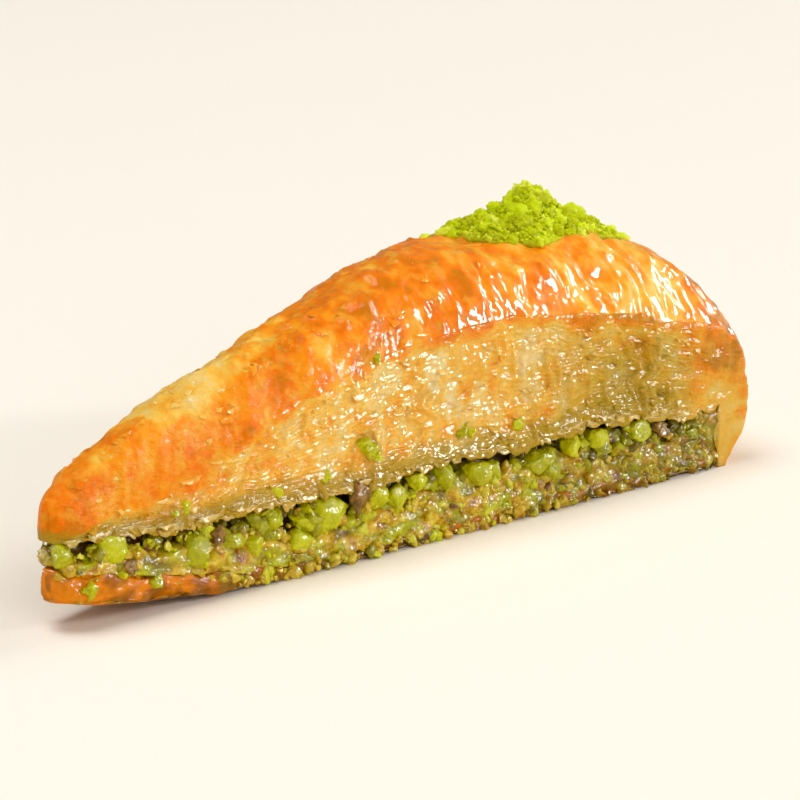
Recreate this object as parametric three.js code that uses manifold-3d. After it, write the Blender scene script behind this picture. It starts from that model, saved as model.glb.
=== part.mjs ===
// One long wedge of layered pistachio pastry, cut from a round tray, with ground pistachio on its crown.
// Millimetres, +Z up. The narrow tip points along -X, the rim that stood against the tray along +X.

import * as THREE from 'three';
import { mergeVertices } from 'three/addons/utils/BufferGeometryUtils.js';
import Module from 'manifold-3d';

const wasm = await Module();
wasm.setup();

// Plan of the slice, measured from the middle of the tray
const HALF_ANGLE = THREE.MathUtils.degToRad(7.5);
const TIP_RADIUS = 32;
const SLICE_LENGTH = 158;
const WALL_BELLY = 2.9;
const MIDDLE_RADIUS = (TIP_RADIUS + TIP_RADIUS + SLICE_LENGTH + WALL_BELLY) / 2;

// Heights of the crust above the ground, at even steps from the tip to the rim
const EDGE_HEIGHTS = [17.5, 22.5, 28.5, 34, 37.2, 38, 35.5, 31, 25.5];
const CROWN_HEIGHTS = [23.7, 32, 37.5, 42.3, 47.5, 49, 47.5, 45.5, 35.5];
const DOME_POWER = 2.4;

// Heights of the layers below the crust
const OVERHANG_AT_TIP = 15.9;
const OVERHANG_HEIGHT = 14;
const OVERHANG_AT_RIM = 11.5;
const BOTTOM_AT_TIP = 6;
const BOTTOM_THICKNESS = 2.4;
const BOTTOM_TAPER = 60;
const TIP_LIFT = 5.4;
const LIFT_LENGTH = 48;
const GAP = 0.3;

// The browned wall at the rim
const WALL_STEPS = 3;
const WALL_INSIDE = 152.8;
const WALL_TUCK = 3.4;
const WALL_BELLY_LEVEL = 0.42;
const WALL_TOP_LEAN = 3.1;

// The rounded nose at the tip
const NOSE_LENGTH = 7;
const NOSE_WIDTH = 0.25;

// Relief of the crust and of the cut faces
const WRINKLE_SPACING = 6.4;
const WRINKLE_DEPTH = 0.75;
const FLAKE_PATCH = 5.5;
const FLAKE_RELIEF = 0.45;
const LAYER_RELIEF = 0.3;
const FACE_HOLLOW = 0.5;

// Filling and its chopped pistachios
const FILLING_RECESS = 2.7;
const MOST_RECESS_SHARE = 0.45;
const CHUNK_SIZES = [3.2, 4.2, 5.4, 6.4];
const CHUNKS_PER_FACE = 42;
const CHUNK_REACH = 0.62;
const CHUNK_INSET = 0.3;
const TIP_CHUNKS = 4;
const TIP_CHUNK_SIZE = 2.4;

// Mound of ground pistachio
const MOUND_ALONG = 129;
const MOUND_ACROSS = 5;
const MOUND_LENGTH = 44;
const MOUND_WIDTH = 25;
const MOUND_SPREAD_HEIGHT = 3;
const MOUND_CREST_HEIGHT = 3.8;
const MOUND_SLOPE = 0.45;
const MOUND_HEM = 0.8;
const MOUND_ROOT = 1.2;
const MOUND_CREST_REACH = 0.34;
const MOUND_GRAINS = 34;
const GRAIN_SIZE = 3.8;
const GRAIN_SPREAD = 0.9;
const GOLDEN_ANGLE = Math.PI * (3 - Math.sqrt(5));

// Mesh steps
const TOP_STEPS = { along: 62, across: 12, up: 8 };
const FILLING_STEPS = { along: 36, across: 2, up: 3 };
const BOTTOM_STEPS = { along: 40, across: 4, up: 2 };
const MOUND_STEPS = { around: 26, rings: 8 };

const LCG_FACTOR = 16807;
const LCG_LIMIT = 2147483647;

function makeRandom(seed) {
  let state = seed;
  return () => {
    state = (state * LCG_FACTOR) % LCG_LIMIT;
    return state / LCG_LIMIT;
  };
}

function mix(a, b, t) {
  return a + (b - a) * t;
}

function smooth(low, high, value) {
  return THREE.MathUtils.smoothstep(value, low, high);
}

// A smooth curve through heights that stand at even steps along the slice
function heightAlong(heights, along) {
  const last = heights.length - 1;
  const place = THREE.MathUtils.clamp(along / SLICE_LENGTH, 0, 1) * last;
  const index = Math.min(Math.floor(place), last - 1);
  const before = heights[Math.max(index - 1, 0)];
  const start = heights[index];
  const end = heights[index + 1];
  const after = heights[Math.min(index + 2, last)];
  const t = place - index;
  const slopeStart = index === 0 ? end - start : (end - before) / 2;
  const slopeEnd = index === last - 1 ? end - start : (after - start) / 2;
  const cubic = 2 * start - 2 * end + slopeStart + slopeEnd;
  const square = 3 * end - 3 * start - 2 * slopeStart - slopeEnd;
  return cubic * t ** 3 + square * t ** 2 + slopeStart * t + start;
}

// A value between -1 and 1 that stays the same for one whole cell
function cellNoise(column, row, seed) {
  const wave = Math.sin(column * 127.1 + row * 311.7 + seed * 74.7) * 43758.5453;
  return 2 * (wave - Math.floor(wave)) - 1;
}

function domeHeight(along, across) {
  const edge = heightAlong(EDGE_HEIGHTS, along);
  const crown = heightAlong(CROWN_HEIGHTS, along);
  return mix(edge, crown, 1 - Math.abs(across) ** DOME_POWER);
}

// Folds in the crust that run down both shoulders, deepest towards the rim
function wrinkle(along, across) {
  const side = across < 0 ? 0 : 1.9;
  const wander = 0.9 * Math.sin(along * 0.11 + side) + 0.6 * across * Math.sin(along * 0.23 + 2 * side);
  const wave = Math.sin((2 * Math.PI * along) / WRINKLE_SPACING + wander);
  const shoulder = smooth(0.15, 0.6, Math.abs(across));
  const strength = mix(0.35, 1, smooth(60, 105, along)) * mix(1, 0.2, smooth(148, 158, along));
  return WRINKLE_DEPTH * shoulder * strength * (wave - 0.3);
}

function crustHeight(along, across) {
  return domeHeight(along, across) + wrinkle(along, across);
}

function tipLift(along) {
  return TIP_LIFT * Math.max(0, 1 - along / LIFT_LENGTH) ** 1.6;
}

function overhangHeight(along) {
  const towardsRim = mix(OVERHANG_HEIGHT, OVERHANG_AT_RIM, smooth(128, 150, along));
  return mix(OVERHANG_AT_TIP, towardsRim, smooth(0, 45, along)) + 0.35 * Math.sin(along * 0.16 + 0.6);
}

function bottomTop(along) {
  return tipLift(along) + mix(BOTTOM_AT_TIP, BOTTOM_THICKNESS, smooth(0, BOTTOM_TAPER, along));
}

// The end of the slice at the rim, at a share of the height from the ground to the crust
function wallReach(level) {
  if (level < WALL_BELLY_LEVEL) {
    const tuck = Math.sin((Math.PI / 2) * (level / WALL_BELLY_LEVEL)) ** 0.8;
    return mix(-WALL_TUCK, WALL_BELLY, tuck);
  }
  const lean = (level - WALL_BELLY_LEVEL) / (1 - WALL_BELLY_LEVEL);
  return WALL_BELLY - WALL_TOP_LEAN * lean ** 2;
}

// How wide the nose leaves the slice: 1 past the tip, less at its very front
function noseWidth(along) {
  const reach = THREE.MathUtils.clamp(along / NOSE_LENGTH, 0, 1);
  return mix(NOSE_WIDTH, 1, Math.sqrt(1 - (1 - reach) ** 2));
}

// Flaky relief of a cut face: thin layers, torn patches and a slight hollow below the crust
function flakeRelief(along, level, side) {
  const row = Math.round(level * TOP_STEPS.up);
  const column = Math.floor(along / FLAKE_PATCH + 0.4 * cellNoise(row, 3, side));
  const torn = FLAKE_RELIEF * cellNoise(column, row, side);
  const layer = row % 2 === 0 ? LAYER_RELIEF : -LAYER_RELIEF;
  const hollow = -FACE_HOLLOW * Math.sin(Math.PI * level);
  const fade = smooth(0, 10, along) * (1 - smooth(146, 153, along));
  return fade * (torn + layer + hollow);
}

// A point of the slice: along from the tip, across from -1 to 1, and a push out of the cut face
function placePoint(along, across, height, push) {
  const radius = TIP_RADIUS + along;
  const angle = across * HALF_ANGLE;
  const x = radius * Math.cos(angle) - push * Math.sin(HALF_ANGLE) * Math.abs(across);
  const y = radius * Math.sin(angle) + push * Math.cos(HALF_ANGLE) * across;
  return new THREE.Vector3(x, y, height);
}

// A closed block whose unit coordinates are bent to the slice by a rule of its own
function bentBlock(steps, rule) {
  const box = new THREE.BoxGeometry(1, 1, 1, steps.along, steps.across, steps.up);
  box.deleteAttribute('normal');
  box.deleteAttribute('uv');
  const geometry = mergeVertices(box, 1e-5);
  const points = geometry.attributes.position;
  for (let i = 0; i < points.count; i += 1) {
    const stationIndex = Math.round((points.getX(i) + 0.5) * steps.along);
    const across = points.getY(i) * 2;
    const level = points.getZ(i) + 0.5;
    const place = rule(stationIndex, across, level);
    points.setXYZ(i, place.x, place.y, place.z);
  }
  return geometry;
}

function toSolid(geometry) {
  const source = geometry.clone();
  source.deleteAttribute('normal');
  source.deleteAttribute('uv');
  const merged = mergeVertices(source, 1e-4);
  return new wasm.Manifold(new wasm.Mesh({
    numProp: 3,
    vertProperties: new Float32Array(merged.attributes.position.array),
    triVerts: new Uint32Array(merged.index.array),
  }));
}

function toGeometry(solid) {
  const mesh = solid.getMesh();
  const geometry = new THREE.BufferGeometry();
  geometry.setAttribute('position', new THREE.BufferAttribute(new Float32Array(mesh.vertProperties), 3));
  geometry.setIndex(new THREE.BufferAttribute(new Uint32Array(mesh.triVerts), 1));
  return geometry;
}

// Joins the pieces to their core, cuts away what it rests on, and keeps the one outer body with its
// sealed pockets filled
function fuse(core, pieces, support) {
  let solid = toSolid(core);
  for (const piece of pieces) {
    solid = solid.add(toSolid(piece));
  }
  if (support) {
    solid = solid.subtract(toSolid(support));
  }
  const bodies = solid.decompose();
  const outer = bodies.reduce((largest, body) => (body.volume() > largest.volume() ? body : largest));
  return toGeometry(outer);
}

// A chopped nut: a squashed, uneven twenty-sided lump
function nutChunk(size, centre, random) {
  const lump = new THREE.IcosahedronGeometry(size / 2, 0);
  lump.scale(0.85 + 0.3 * random(), 0.85 + 0.3 * random(), 0.75 + 0.3 * random());
  lump.rotateX(Math.PI * random());
  lump.rotateZ(Math.PI * random());
  lump.translate(centre.x, centre.y, centre.z);
  return lump;
}

// Sheets of pastry above the filling, with the glazed crust and the wall at the rim
function topPastryGeometry() {
  const flatSteps = TOP_STEPS.along - WALL_STEPS - 1;
  return bentBlock(TOP_STEPS, (index, across, level) => {
    const inWall = index > flatSteps;
    const wallShare = inWall ? (index - flatSteps - 1) / WALL_STEPS : 0;
    const base = inWall
      ? mix(WALL_INSIDE, SLICE_LENGTH, wallShare)
      : (WALL_INSIDE - GAP) * (index / flatSteps);
    const along = inWall ? mix(WALL_INSIDE, SLICE_LENGTH + wallReach(level), wallShare) : base;
    const low = inWall ? 0 : overhangHeight(base);
    const high = crustHeight(base, across);
    const height = mix(low, high, level);
    const push = Math.abs(across) === 1 ? flakeRelief(base, level, Math.sign(across)) : 0;
    return placePoint(along, across * noseWidth(base), height, push);
  });
}

// Nut filling set back from the cut faces, with chopped pistachios that stand out of it
function fillingGeometry() {
  const end = WALL_INSIDE - 2 * GAP;
  const start = NOSE_LENGTH / 2;
  const core = bentBlock(FILLING_STEPS, (index, across, level) => {
    const along = mix(start, end, index / FILLING_STEPS.along);
    const halfWidth = (TIP_RADIUS + along) * Math.sin(HALF_ANGLE);
    const uneven = 0.5 * cellNoise(index, Math.round(FILLING_STEPS.up * level), Math.sign(across));
    const setBack = 1 - Math.min(MOST_RECESS_SHARE, (FILLING_RECESS + uneven) / halfWidth);
    const low = bottomTop(along) + GAP;
    const high = overhangHeight(along) - GAP;
    return placePoint(along, across * noseWidth(along) * setBack, mix(low, high, level), 0);
  });
  const random = makeRandom(4127);
  const pieces = [];
  const addChunk = (along, side, share, size) => {
    const low = bottomTop(along) + GAP + CHUNK_REACH * size;
    const high = overhangHeight(along) - 2 * GAP - CHUNK_REACH * size;
    const halfWidth = (TIP_RADIUS + along) * Math.sin(HALF_ANGLE) * noseWidth(along);
    const inset = size / 2 + CHUNK_INSET;
    const across = side * (1 - inset / halfWidth);
    pieces.push(nutChunk(size, placePoint(along, across, mix(low, high, share), 0), random));
  };
  for (const side of [-1, 1]) {
    for (let i = 0; i < CHUNKS_PER_FACE; i += 1) {
      const along = mix(9, end - 5, (i + 0.8 * random()) / CHUNKS_PER_FACE);
      const room = overhangHeight(along) - bottomTop(along) - 3 * GAP;
      const wish = CHUNK_SIZES[Math.floor(random() * CHUNK_SIZES.length)];
      const size = Math.min(wish, room / (2 * CHUNK_REACH));
      const share = i % 2 === 0 ? mix(0.1, 0.45, random()) : mix(0.6, 1, random());
      addChunk(along, side, share, size);
    }
  }
  for (let i = 0; i < TIP_CHUNKS; i += 1) {
    const along = start + TIP_CHUNK_SIZE / 4;
    const across = mix(-0.35, 0.35, i / (TIP_CHUNKS - 1));
    const height = mix(bottomTop(along), overhangHeight(along), i % 2 === 0 ? 0.35 : 0.65);
    pieces.push(nutChunk(TIP_CHUNK_SIZE, placePoint(along, across, height, 0), random));
  }
  return fuse(core, pieces);
}

// Sheets of pastry below the filling, flat on the ground and lifted at the tip
function bottomPastryGeometry() {
  const end = WALL_INSIDE - 2 * GAP;
  return bentBlock(BOTTOM_STEPS, (index, across, level) => {
    const along = mix(0.4, end, index / BOTTOM_STEPS.along);
    const low = tipLift(along);
    const high = bottomTop(along);
    const uneven = LAYER_RELIEF * cellNoise(index, Math.round(BOTTOM_STEPS.up * level), Math.sign(across));
    const push = Math.abs(across) === 1 ? (uneven - LAYER_RELIEF) * smooth(0, NOSE_LENGTH, along) : 0;
    return placePoint(along, across * noseWidth(along), mix(low, high, level), push);
  });
}

// Uneven height of the mound: a narrow crest on a low spread
function moundHeight(reach, angle) {
  const ripple = 0.14 * Math.sin(3 * angle + 1) + 0.1 * Math.sin(5 * angle);
  const uneven = 1 + reach * (ripple - MOUND_SLOPE * Math.cos(angle));
  const spread = MOUND_SPREAD_HEIGHT * (1 - reach ** 3) * uneven;
  return spread + MOUND_CREST_HEIGHT * Math.exp(-((reach / MOUND_CREST_REACH) ** 2));
}

// Ground pistachio heaped on the crown: a core that follows the crust, with the larger grains on it
function groundPistachioGeometry(crust) {
  const random = makeRandom(977);
  const centreRadius = TIP_RADIUS + MOUND_ALONG;
  const spot = (reach, angle) => {
    const ragged = 1 + 0.07 * Math.sin(5 * angle + 0.7) + 0.05 * Math.sin(9 * angle);
    const x = centreRadius + (MOUND_LENGTH / 2) * reach * ragged * Math.cos(angle);
    const y = MOUND_ACROSS + (MOUND_WIDTH / 2) * reach * ragged * Math.sin(angle);
    const along = Math.hypot(x, y) - TIP_RADIUS;
    const across = Math.atan2(y, x) / HALF_ANGLE;
    return { x, y, ground: crustHeight(along, across) + GAP };
  };
  const positions = [];
  const indices = [];
  const { around, rings } = MOUND_STEPS;
  for (const layer of ['upper', 'lower']) {
    for (let ring = 0; ring <= rings; ring += 1) {
      for (let step = 0; step < around; step += 1) {
        const angle = (2 * Math.PI * step) / around;
        const reach = ring / rings;
        const place = spot(reach, angle);
        const bumps = 0.8 * cellNoise(step, ring, 5) * smooth(0, 0.25, reach) * (1 - reach);
        const rise = layer === 'upper' ? MOUND_HEM + moundHeight(reach, angle) + bumps : -MOUND_ROOT;
        positions.push(place.x, place.y, place.ground + rise);
      }
    }
  }
  const perLayer = (rings + 1) * around;
  const vertex = (layer, ring, step) => layer * perLayer + ring * around + (step % around);
  for (let ring = 0; ring < rings; ring += 1) {
    for (let step = 0; step < around; step += 1) {
      for (const layer of [0, 1]) {
        const a = vertex(layer, ring, step);
        const b = vertex(layer, ring + 1, step);
        const c = vertex(layer, ring + 1, step + 1);
        const d = vertex(layer, ring, step + 1);
        const faces = layer === 0 ? [a, b, c, a, c, d] : [a, c, b, a, d, c];
        indices.push(...faces);
      }
    }
  }
  for (let step = 0; step < around; step += 1) {
    const top = vertex(0, rings, step);
    const topNext = vertex(0, rings, step + 1);
    const low = vertex(1, rings, step);
    const lowNext = vertex(1, rings, step + 1);
    indices.push(top, low, lowNext, top, lowNext, topNext);
  }
  const sheet = new THREE.BufferGeometry();
  sheet.setAttribute('position', new THREE.Float32BufferAttribute(positions, 3));
  sheet.setIndex(indices);
  const pieces = [];
  for (let i = 0; i < MOUND_GRAINS; i += 1) {
    const reach = GRAIN_SPREAD * Math.sqrt((i + 0.5) / MOUND_GRAINS);
    const angle = i * GOLDEN_ANGLE;
    const size = GRAIN_SIZE * mix(0.7, 1.3, random());
    const place = spot(reach, angle);
    const height = place.ground + Math.max(0.3 * size, moundHeight(reach, angle) - 0.1 * size);
    pieces.push(nutChunk(size, new THREE.Vector3(place.x, place.y, height), random));
  }
  const raisedCrust = crust.clone().translate(0, 0, GAP);
  return fuse(sheet, pieces, raisedCrust);
}

function glossy(colour, roughness) {
  return new THREE.MeshStandardMaterial({ color: colour, roughness, metalness: 0, flatShading: true });
}

function namedMesh(name, geometry, material) {
  geometry.computeVertexNormals();
  const mesh = new THREE.Mesh(geometry, material);
  mesh.name = name;
  return mesh;
}

const topPastry = topPastryGeometry();
const slice = new THREE.Group();
slice.add(namedMesh('top_pastry', topPastry, glossy('#e79a3c', 0.25)));
slice.add(namedMesh('pistachio_filling', fillingGeometry(), glossy('#8f9a2a', 0.3)));
slice.add(namedMesh('bottom_pastry', bottomPastryGeometry(), glossy('#c07a1f', 0.3)));
slice.add(namedMesh('ground_pistachio', groundPistachioGeometry(topPastry), glossy('#b9d62a', 0.8)));
slice.position.x = -MIDDLE_RADIUS;

export default slice;
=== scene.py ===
"""The looks of one wedge slice of pistachio baklava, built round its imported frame.

Shapes are worked out in millimetres from the middle of the tray that the slice was cut from, and are
moved to the frame, in metres, when a piece is made. The narrow tip points along -X.
"""
import math

import bmesh
import bpy
import numpy as np
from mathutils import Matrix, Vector


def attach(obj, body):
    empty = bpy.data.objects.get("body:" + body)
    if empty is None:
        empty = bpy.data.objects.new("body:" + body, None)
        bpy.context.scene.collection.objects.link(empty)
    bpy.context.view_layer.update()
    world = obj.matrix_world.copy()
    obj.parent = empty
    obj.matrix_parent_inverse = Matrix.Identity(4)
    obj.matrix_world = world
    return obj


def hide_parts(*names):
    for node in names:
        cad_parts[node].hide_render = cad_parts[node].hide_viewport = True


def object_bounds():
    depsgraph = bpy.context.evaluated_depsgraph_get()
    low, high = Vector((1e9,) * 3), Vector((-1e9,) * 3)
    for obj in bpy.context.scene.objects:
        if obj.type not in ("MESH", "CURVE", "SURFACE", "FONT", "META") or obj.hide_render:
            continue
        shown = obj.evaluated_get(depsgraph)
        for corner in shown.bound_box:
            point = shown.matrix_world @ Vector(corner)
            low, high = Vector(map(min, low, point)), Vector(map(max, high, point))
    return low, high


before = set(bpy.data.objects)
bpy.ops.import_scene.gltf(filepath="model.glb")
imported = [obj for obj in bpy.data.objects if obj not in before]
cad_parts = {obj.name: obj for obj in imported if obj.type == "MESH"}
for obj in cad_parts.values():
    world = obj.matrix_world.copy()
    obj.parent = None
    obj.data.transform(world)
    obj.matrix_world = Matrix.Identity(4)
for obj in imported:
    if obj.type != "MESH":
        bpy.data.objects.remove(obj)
cad_box = [list(corner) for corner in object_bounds()]

# Plan of the slice, in millimetres
MM = 0.001
HALF_ANGLE = math.radians(7.5)
TIP_RADIUS = 32.0
SLICE_LENGTH = 158.0
GAP = 0.3

# Heights of the crust, at even steps from the tip to the rim
EDGE_HEIGHTS = np.array([17.5, 22.5, 28.5, 34, 37.2, 38, 35.5, 31, 25.5])
CROWN_HEIGHTS = np.array([23.7, 32, 37.5, 42.3, 47.5, 49, 47.5, 45.5, 35.5])
DOME_POWER = 2.4

# Heights of the layers below the crust
OVERHANG_AT_TIP = 15.9
OVERHANG_HEIGHT = 14.0
OVERHANG_AT_RIM = 11.5
BOTTOM_AT_TIP = 6.0
BOTTOM_THICKNESS = 2.4
BOTTOM_TAPER = 60.0
TIP_LIFT = 5.4
LIFT_LENGTH = 48.0

# The browned wall at the rim and the rounded nose at the tip
WALL_INSIDE = 152.8
WALL_BELLY = 2.9
WALL_TUCK = 3.4
WALL_BELLY_LEVEL = 0.42
WALL_TOP_LEAN = 3.1
NOSE_LENGTH = 7.0
NOSE_WIDTH = 0.25
NOSE_STEPS = 30

# Where the tray's middle lies in the frame
TRAY_MIDDLE = cad_box[0][0] / MM - TIP_RADIUS

# The two cut faces: -1 is the near one, 1 the far one
SIDES = ((-1, "near"), (1, "far"))

rng = np.random.default_rng(21)


# Noise

NOISE_CELLS = 1024
noise_order = rng.permutation(NOISE_CELLS)
noise_values = rng.uniform(-1, 1, NOISE_CELLS)


def lattice(ix, iy, iz, seed):
    """A repeatable value from -1 to 1 for each whole-number place."""
    last = NOISE_CELLS - 1
    step = noise_order[(ix + 57 * np.asarray(seed).astype(int)) & last]
    step = noise_order[(step + iy) & last]
    return noise_values[noise_order[(step + iz) & last]]


def noise(x, y=0.0, z=0.0, seed=0):
    """Smooth noise from -1 to 1 with features about one unit across."""
    x, y, z = np.broadcast_arrays(x, y, z)
    cells = [np.floor(axis).astype(int) for axis in (x, y, z)]
    shares = [axis - cell for axis, cell in zip((x, y, z), cells)]
    eased = [share * share * (3 - 2 * share) for share in shares]
    total = np.zeros(x.shape)
    for dx in (0, 1):
        for dy in (0, 1):
            for dz in (0, 1):
                weight = 1.0
                for step, share in zip((dx, dy, dz), eased):
                    weight = weight * (share if step else 1 - share)
                total += weight * lattice(cells[0] + dx, cells[1] + dy, cells[2] + dz, seed)
    return total


def fractal(x, y=0.0, z=0.0, seed=0, octaves=3, fade=0.5):
    """Noise with finer and weaker copies of itself added."""
    total = 0.0
    strength = 1.0
    for octave in range(octaves):
        scale = 2.03 ** octave
        total = total + strength * noise(x * scale, y * scale, z * scale, seed + 11 * octave)
        strength *= fade
    return total


def ridged(x, y=0.0, z=0.0, seed=0):
    """Noise from 0 to 1 with sharp crests."""
    return np.maximum(0, 1 - np.abs(noise(x, y, z, seed)) * 1.8)


def smooth(low, high, value):
    share = np.clip((value - low) / (high - low), 0, 1)
    return share * share * (3 - 2 * share)


def mix(a, b, share):
    return a + (b - a) * share


def bell(distance, reach):
    """1 in the middle, falling to 0 by about twice the reach."""
    return np.exp(-(distance / reach) ** 2)


def unit(directions):
    return directions / np.linalg.norm(directions, axis=-1, keepdims=True)


# Form of the slice

def height_along(heights, along):
    """A smooth curve through heights that stand at even steps along the slice."""
    last = len(heights) - 1
    place = np.clip(along / SLICE_LENGTH, 0, 1) * last
    index = np.minimum(place.astype(int), last - 1)
    share = place - index
    slopes = np.gradient(heights)
    start, end = heights[index], heights[index + 1]
    slope_start, slope_end = slopes[index], slopes[index + 1]
    cubic = 2 * start - 2 * end + slope_start + slope_end
    square = 3 * end - 3 * start - 2 * slope_start - slope_end
    return cubic * share ** 3 + square * share ** 2 + slope_start * share + start


def dome_height(along, across):
    """Height of the crust, fuller towards the sides near the tip."""
    edge = height_along(EDGE_HEIGHTS, along)
    crown = height_along(CROWN_HEIGHTS, along)
    fullness = mix(0.72, 1, smooth(18, 60, along))
    return mix(edge, crown, np.maximum(0, 1 - np.abs(across) ** DOME_POWER) ** fullness)


def tip_lift(along):
    return TIP_LIFT * np.maximum(0, 1 - along / LIFT_LENGTH) ** 1.6


def overhang_height(along):
    towards_rim = mix(OVERHANG_HEIGHT, OVERHANG_AT_RIM, smooth(128, 150, along))
    return mix(OVERHANG_AT_TIP, towards_rim, smooth(0, 45, along)) + 0.35 * np.sin(along * 0.16 + 0.6)


def face_thickness(along):
    """Height of a cut face from the filling up to the crust."""
    return height_along(EDGE_HEIGHTS, along) - overhang_height(along)


def bottom_top(along):
    return tip_lift(along) + mix(BOTTOM_AT_TIP, BOTTOM_THICKNESS, smooth(0, BOTTOM_TAPER, along))


def wall_reach(level):
    """How far the rim's wall stands past the slice's length, by its share of the height."""
    tuck = np.sin((math.pi / 2) * np.clip(level / WALL_BELLY_LEVEL, 0, 1)) ** 0.8
    below = mix(-WALL_TUCK, WALL_BELLY, tuck)
    lean = (level - WALL_BELLY_LEVEL) / (1 - WALL_BELLY_LEVEL)
    above = WALL_BELLY - WALL_TOP_LEAN * lean ** 2
    return np.where(level < WALL_BELLY_LEVEL, below, above)


def nose_width(along):
    reach = np.clip(along / NOSE_LENGTH, 0, 1)
    return mix(NOSE_WIDTH, 1, np.sqrt(1 - (1 - reach) ** 2))


def stations_to(end, steps, start=0.0):
    """Steps along the slice, close together round the nose."""
    nose = start + (NOSE_LENGTH - start) * np.linspace(0, 1, NOSE_STEPS + 1) ** 2
    return np.concatenate([nose, np.linspace(NOSE_LENGTH, end, steps - NOSE_STEPS + 1)[1:]])


def half_width(along):
    return (TIP_RADIUS + along) * math.sin(HALF_ANGLE)


def place(along, across, height):
    """Points of the slice, in millimetres from the tray's middle."""
    along, across, height = np.broadcast_arrays(along, across, height)
    radius = TIP_RADIUS + along
    angle = across * HALF_ANGLE
    return np.stack([radius * np.cos(angle), radius * np.sin(angle), height], -1)


def outward(side):
    """The direction out of a cut face."""
    return np.array([-math.sin(HALF_ANGLE), side * math.cos(HALF_ANGLE), 0.0])


# Meshes

EDGE_ROUNDS = 50
LEAST_SHARE = 0.001
FLOOR_GAP = 0.02


def make_piece(name, points, faces, material, values):
    """A mesh object from points in millimetres, faces, and named values for each point."""
    moved = (points + np.array([TRAY_MIDDLE, 0, 0])) * MM
    corners = faces.shape[1]
    mesh = bpy.data.meshes.new(name)
    mesh.vertices.add(len(moved))
    mesh.vertices.foreach_set("co", moved.astype(np.float32).ravel())
    mesh.loops.add(faces.size)
    mesh.loops.foreach_set("vertex_index", faces.astype(np.int32).ravel())
    mesh.polygons.add(len(faces))
    mesh.polygons.foreach_set("loop_start", np.arange(0, faces.size, corners, dtype=np.int32))
    mesh.update(calc_edges=True)
    for key, array in values.items():
        layer = mesh.attributes.new(key, "FLOAT", "POINT")
        layer.data.foreach_set("value", array.astype(np.float32))
    mesh.shade_smooth()
    mesh.materials.append(material)
    piece = bpy.data.objects.new(name, mesh)
    bpy.context.scene.collection.objects.link(piece)
    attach(piece, "root")
    return piece


def grid_faces(grid, flip):
    """Four-sided faces over a grid of point numbers."""
    faces = np.stack([grid[:-1, :-1], grid[1:, :-1], grid[1:, 1:], grid[:-1, 1:]], -1).reshape(-1, 4)
    return faces[:, ::-1] if flip else faces


def box_shell(steps):
    """The surface of a box cut into steps.

    Gives each point's step along, its place across from -1 to 1 and up from 0 to 1, and the faces.
    """
    surface = np.ones([step + 1 for step in steps], bool)
    surface[1:-1, 1:-1, 1:-1] = False
    column, across, level = np.argwhere(surface).T
    index = np.full(surface.shape, -1)
    index[surface] = np.arange(len(column))
    faces = []
    for axis in range(3):
        for end in (0, -1):
            faces.append(grid_faces(index.take(end, axis), (end == 0) != (axis == 1)))
    return column, across / steps[1] * 2 - 1, level / steps[2], np.concatenate(faces)


def point_normals(points, faces):
    """Outward directions at the points of a mesh with four-sided faces."""
    first = points[faces[:, 2]] - points[faces[:, 0]]
    second = points[faces[:, 3]] - points[faces[:, 1]]
    across = np.cross(first, second)
    total = np.zeros_like(points)
    for corner in range(4):
        np.add.at(total, faces[:, corner], across)
    return total / np.maximum(np.linalg.norm(total, axis=1, keepdims=True), 1e-9)


def relaxed(points, faces, shares):
    """Rounds off a mesh: each point is moved towards its neighbours' middle by its share."""
    edges = np.concatenate([faces[:, [corner, (corner + 1) % 4]] for corner in range(4)])
    edges = edges[shares[edges[:, 0]] > LEAST_SHARE]
    centres, order = np.unique(edges[:, 0], return_inverse=True)
    counts = np.bincount(order)[:, None]
    share = shares[centres][:, None]
    points = points.copy()
    for _ in range(EDGE_ROUNDS):
        neighbours = points[edges[:, 1]]
        total = np.stack([np.bincount(order, neighbours[:, axis]) for axis in range(3)], -1)
        points[centres] = mix(points[centres], total / counts, share)
    return points


def pushed_out(points, faces, push):
    """Moves points out of the surface, but not below the ground."""
    points = points + point_normals(points, faces) * push[:, None]
    points[:, 2] = np.maximum(points[:, 2], 0)
    return points


class Gathered:
    """Many small shapes joined into one mesh."""

    def __init__(self):
        self.points = []
        self.faces = []
        self.values = {}
        self.count = 0

    def add(self, points, faces, values):
        """Adds shapes of one kind. A value is given for each shape or for each point."""
        self.points.append(points)
        self.faces.append(faces + self.count)
        self.count += len(points)
        for key, array in values.items():
            self.values.setdefault(key, []).append(np.repeat(array, len(points) // len(array)))

    def make(self, name, material):
        """Makes the mesh, with nothing of it below the ground."""
        points = np.concatenate(self.points)
        points[:, 2] = np.maximum(points[:, 2], FLOOR_GAP)
        values = {key: np.concatenate(arrays) for key, arrays in self.values.items()}
        make_piece(name, points, np.concatenate(self.faces), material, values)


def at_both_faces(fill, name, material):
    """One joined mesh at each cut face, filled by a function of the mesh and the side."""
    for side, word in SIDES:
        gathered = Gathered()
        fill(gathered, side)
        gathered.make(name + word, material)


ball_cache = {}


def ball(level):
    """Points and triangles of a unit ball made of small triangles."""
    if level not in ball_cache:
        work = bmesh.new()
        bmesh.ops.create_icosphere(work, subdivisions=level, radius=1.0)
        points = np.array([vertex.co for vertex in work.verts])
        faces = np.array([[vertex.index for vertex in face.verts] for face in work.faces])
        work.free()
        ball_cache[level] = (points, faces)
    return ball_cache[level]


def random_directions(count):
    return unit(rng.normal(size=(count, 3)))


def random_turns(count):
    """Random rotation matrices."""
    first = random_directions(count)
    second = unit(np.cross(first, random_directions(count)))
    return np.stack([first, second, np.cross(first, second)], 1)


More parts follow.
